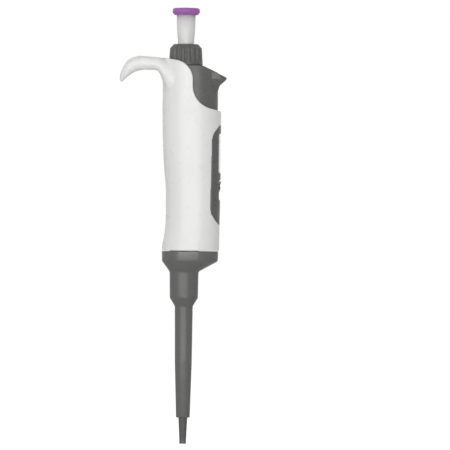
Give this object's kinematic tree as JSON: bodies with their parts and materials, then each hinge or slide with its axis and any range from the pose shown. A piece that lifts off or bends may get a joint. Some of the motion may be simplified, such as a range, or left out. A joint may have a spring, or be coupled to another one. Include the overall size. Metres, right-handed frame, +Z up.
{
  "type": "piston pipette",
  "caption": "Single-channel adjustable air-displacement pipette: finger-hook handle, turning volume knob, press button, digit window, lock and tip ejector.",
  "frame": {"origin": "centre of the open lower end of the tip cone, where a tip seals on its cylindrical land", "axes": "+Z up along the plunger's axis, +X to the volume window and the ejector's thumb pad, -X to the finger hook"},
  "size_m": [0.0591, 0.026, 0.2399],
  "materials": {
    "shell_white": "moulded, fine matt",
    "panel_grey": "moulded, satin",
    "lens_clear": "clear polycarbonate",
    "lock_black": "moulded, matt",
    "knob_grey": "moulded, satin",
    "ejector_grey": "moulded, satin",
    "sleeve_grey": "moulded, satin",
    "cone_grey": "chemical-resistant, satin",
    "stem_white": "moulded, soft gloss",
    "cap_purple": "moulded, soft gloss",
    "inner_plastic": "acetal, plain",
    "drum_black": "moulded, matt with pale digits",
    "steel": "ground",
    "spring_steel": "drawn wire",
    "brass": "turned",
    "seal_ptfe": "PTFE, waxy",
    "o_ring_rubber": "nitrile rubber"
  },
  "bodies": {
    "handle": {"handle_shell": "shell_white", "front_panel": "panel_grey", "window_lens": "lens_clear", "chassis": "inner_plastic", "knob_bush": "inner_plastic", "counter_frame": "inner_plastic", "spindle_nut": "brass", "thrust_washer": "steel", "blowout_ring": "steel", "blowout_spring": "spring_steel", "shaft": "cone_grey", "shaft_nut": "inner_plastic", "piston_seal": "seal_ptfe", "seal_o_ring": "o_ring_rubber", "seal_retainer": "inner_plastic", "return_spring": "spring_steel", "ejector_spring": "spring_steel"},
    "knob": {"volume_knob": "knob_grey", "drive_sleeve": "inner_plastic", "drive_gear": "inner_plastic", "sleeve_clip": "spring_steel"},
    "spindle": {"volume_spindle": "steel"},
    "plunger": {"button_cap": "cap_purple", "button_stem": "stem_white", "push_rod": "steel", "rod_collar": "steel", "piston_head": "inner_plastic", "piston": "steel"},
    "units": {"counter_shaft": "steel", "counter_pinion": "inner_plastic", "units_drum": "drum_black", "lock_wheel": "inner_plastic"},
    "tens": {"tens_drum": "drum_black"},
    "hundreds": {"hundreds_drum": "drum_black"},
    "lock": {"lock_slider": "lock_black"},
    "ejector": {"ejector_button": "ejector_grey", "ejector_link": "inner_plastic", "ejector_sleeve": "sleeve_grey", "link_pins": "steel"}
  },
  "joints": [
    {"name": "volume_knob_turn", "type": "hinge", "parent": "handle", "child": "knob", "pos_m": [0, 0, 0.2082], "axis": [0, 0, 1], "range_deg": [-1620, 1620]},
    {"name": "spindle_travel", "type": "slide", "parent": "knob", "child": "spindle", "axis": [0, 0, 1], "range_m": [-0.0045, 0.0045]},
    {"name": "button_press", "type": "slide", "parent": "spindle", "child": "plunger", "axis": [0, 0, -1], "range_m": [0, 0.01], "stiffness_N_per_m": 700, "springref_m": -0.006, "deforming": ["return_spring"]},
    {"name": "units_drum_turn", "type": "hinge", "parent": "handle", "child": "units", "pos_m": [0.0108, 0, 0.1], "axis": [0, 0, 1], "range_deg": [-3240, 3240]},
    {"name": "tens_drum_turn", "type": "hinge", "parent": "handle", "child": "tens", "pos_m": [0.0108, 0, 0.1], "axis": [0, 0, 1], "range_deg": [-324, 324]},
    {"name": "hundreds_drum_turn", "type": "hinge", "parent": "handle", "child": "hundreds", "pos_m": [0.0108, 0, 0.1], "axis": [0, 0, 1], "range_deg": [-32.4, 32.4]},
    {"name": "lock_slide", "type": "slide", "parent": "handle", "child": "lock", "axis": [0, 0, -1], "range_m": [0, 0.004]},
    {"name": "ejector_press", "type": "slide", "parent": "handle", "child": "ejector", "axis": [0, 0, -1], "range_m": [0, 0.009], "stiffness_N_per_m": 350, "springref_m": -0.008, "deforming": ["ejector_spring"]}
  ],
  "couplings": [
    {"joint": "volume_knob_turn", "follows": "spindle_travel", "rad_per_m": 6283.2},
    {"joint": "units_drum_turn", "follows": "spindle_travel", "rad_per_m": -12566},
    {"joint": "tens_drum_turn", "follows": "spindle_travel", "rad_per_m": -1256.6},
    {"joint": "hundreds_drum_turn", "follows": "spindle_travel", "rad_per_m": -125.66}
  ]
}
